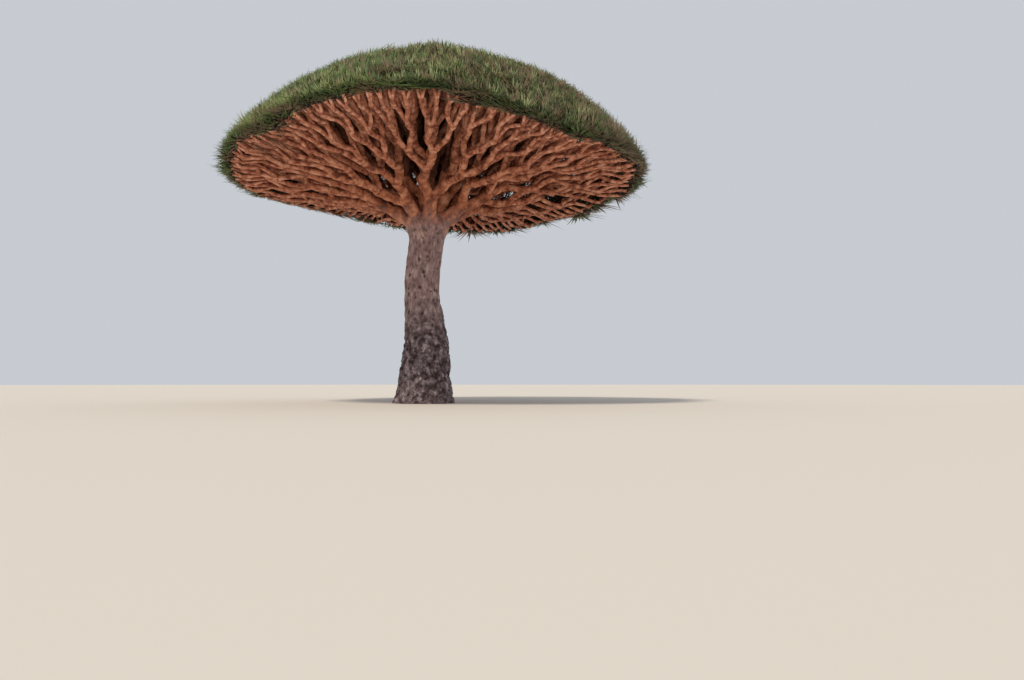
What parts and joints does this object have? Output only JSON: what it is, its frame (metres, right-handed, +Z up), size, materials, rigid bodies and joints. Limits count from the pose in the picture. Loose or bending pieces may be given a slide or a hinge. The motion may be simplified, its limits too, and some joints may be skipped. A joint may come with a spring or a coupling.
{
  "type": "dragon blood tree",
  "caption": "Umbrella-shaped tree: a stout flared trunk, terracotta boughs that fork again and again, and a closed green dome of stiff pointed leaves.",
  "frame": {"origin": "middle of the flat cut under the trunk, at ground level", "axes": "+Z up; the side that faces the viewer faces -Y; +X is to the viewer's right"},
  "size_m": [7.1648, 6.9058, 5.7824],
  "materials": {
    "bark": "rough grey-pink bark with small dark scars",
    "branch": "matt terracotta bark",
    "foliage": "stiff waxy leaves, olive to mid green"
  },
  "bodies": {
    "root": {"trunk": "bark", "bough_lower_1": "branch", "bough_lower_2": "branch", "bough_lower_3": "branch", "bough_lower_4": "branch", "bough_lower_5": "branch", "bough_lower_6": "branch", "bough_lower_7": "branch", "bough_middle": "branch", "bough_upper_1": "branch", "bough_upper_2": "branch", "bough_upper_3": "branch", "bough_upper_4": "branch", "limb_lower_1a": "branch", "limb_lower_1b": "branch", "limb_lower_2a": "branch", "limb_lower_2b": "branch", "limb_lower_3a": "branch", "limb_lower_3b": "branch", "limb_lower_4a": "branch", "limb_lower_4b": "branch", "limb_lower_5a": "branch", "limb_lower_5b": "branch", "limb_lower_6a": "branch", "limb_lower_6b": "branch", "limb_lower_7a": "branch", "limb_lower_7b": "branch", "limb_upper_1a": "branch", "limb_upper_1b": "branch", "limb_upper_2a": "branch", "limb_upper_2b": "branch", "limb_upper_3a": "branch", "limb_upper_3b": "branch", "limb_upper_4a": "branch", "limb_upper_4b": "branch", "foliage_lower_1a": "foliage", "foliage_lower_1b": "foliage", "foliage_lower_2a": "foliage", "foliage_lower_2b": "foliage", "foliage_lower_3a": "foliage", "foliage_lower_3b": "foliage", "foliage_lower_4a": "foliage", "foliage_lower_4b": "foliage", "foliage_lower_5a": "foliage", "foliage_lower_5b": "foliage", "foliage_lower_6a": "foliage", "foliage_lower_6b": "foliage", "foliage_lower_7a": "foliage", "foliage_lower_7b": "foliage", "foliage_middle": "foliage", "foliage_upper_1a": "foliage", "foliage_upper_1b": "foliage", "foliage_upper_2a": "foliage", "foliage_upper_2b": "foliage", "foliage_upper_3a": "foliage", "foliage_upper_3b": "foliage", "foliage_upper_4a": "foliage", "foliage_upper_4b": "foliage"}
  },
  "joints": []
}
